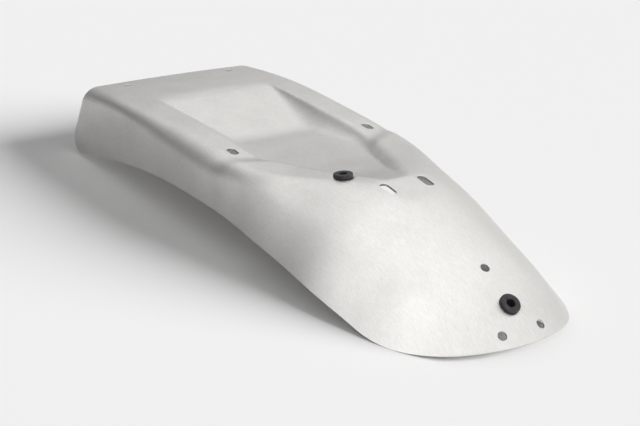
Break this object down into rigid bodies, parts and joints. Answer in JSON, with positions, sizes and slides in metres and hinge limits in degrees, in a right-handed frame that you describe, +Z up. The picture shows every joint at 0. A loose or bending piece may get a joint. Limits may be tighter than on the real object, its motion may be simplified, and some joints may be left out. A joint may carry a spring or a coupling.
{
  "type": "motorcycle rear fender",
  "caption": "Pressed and brushed aluminium rear fender with a tapering seat recess, rounded tail, screw holes, slots and rubber cable grommets.",
  "frame": {"origin": "on the floor under the middle of the fender, which stands on its front lower corners and the underside of its tail", "axes": "+X towards the tail, +Y towards the rider's right, +Z up"},
  "size_m": [0.5904, 0.216, 0.0824],
  "materials": {
    "brushed_aluminium": "brushed across the part, satin",
    "black_rubber": "matte moulded rubber"
  },
  "bodies": {
    "root": {"fender_sheet": "brushed_aluminium", "ridge_cable_grommet": "black_rubber", "tail_cable_grommet": "black_rubber"}
  },
  "joints": []
}
